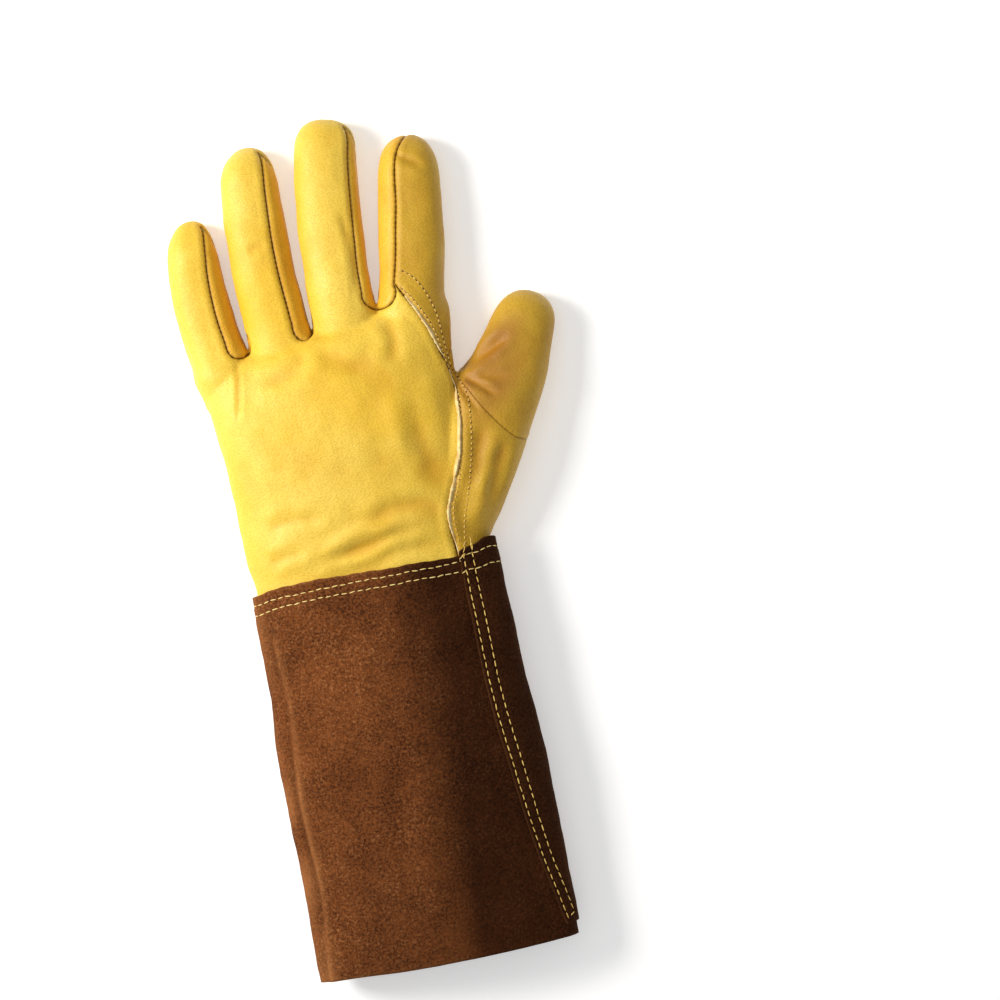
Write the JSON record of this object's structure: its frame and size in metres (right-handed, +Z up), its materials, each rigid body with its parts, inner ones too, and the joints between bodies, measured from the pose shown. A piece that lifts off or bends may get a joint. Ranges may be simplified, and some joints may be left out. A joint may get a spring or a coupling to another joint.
{
  "type": "gauntlet glove",
  "caption": "Left rose pruning gauntlet: golden grain leather hand with welted seams and gusseted fingers, suede palm patch, and a long lapped brown suede cuff, lying palm down",
  "frame": {"origin": "middle of the outline of the lying glove, on the surface that it rests on", "axes": "+X towards the thumb, +Y towards the fingertips, +Z up through the back of the hand"},
  "size_m": [0.1784, 0.4044, 0.0387],
  "materials": {
    "golden_leather": "soft grain, satin",
    "brown_suede": "napped split leather, matt",
    "pale_leather": "raw cut edge, matt"
  },
  "bodies": {
    "root": {"back_panel": "golden_leather", "palm_panel": "golden_leather", "thumb": "golden_leather", "ring_front": "golden_leather", "middle_front": "golden_leather", "gusset_little_ring": "golden_leather", "gusset_ring_middle": "golden_leather", "gusset_middle_index": "golden_leather", "back_welt": "pale_leather", "palm_welt": "pale_leather", "knuckle_patch": "brown_suede", "wrist_tab": "golden_leather", "cuff": "brown_suede"}
  },
  "joints": []
}
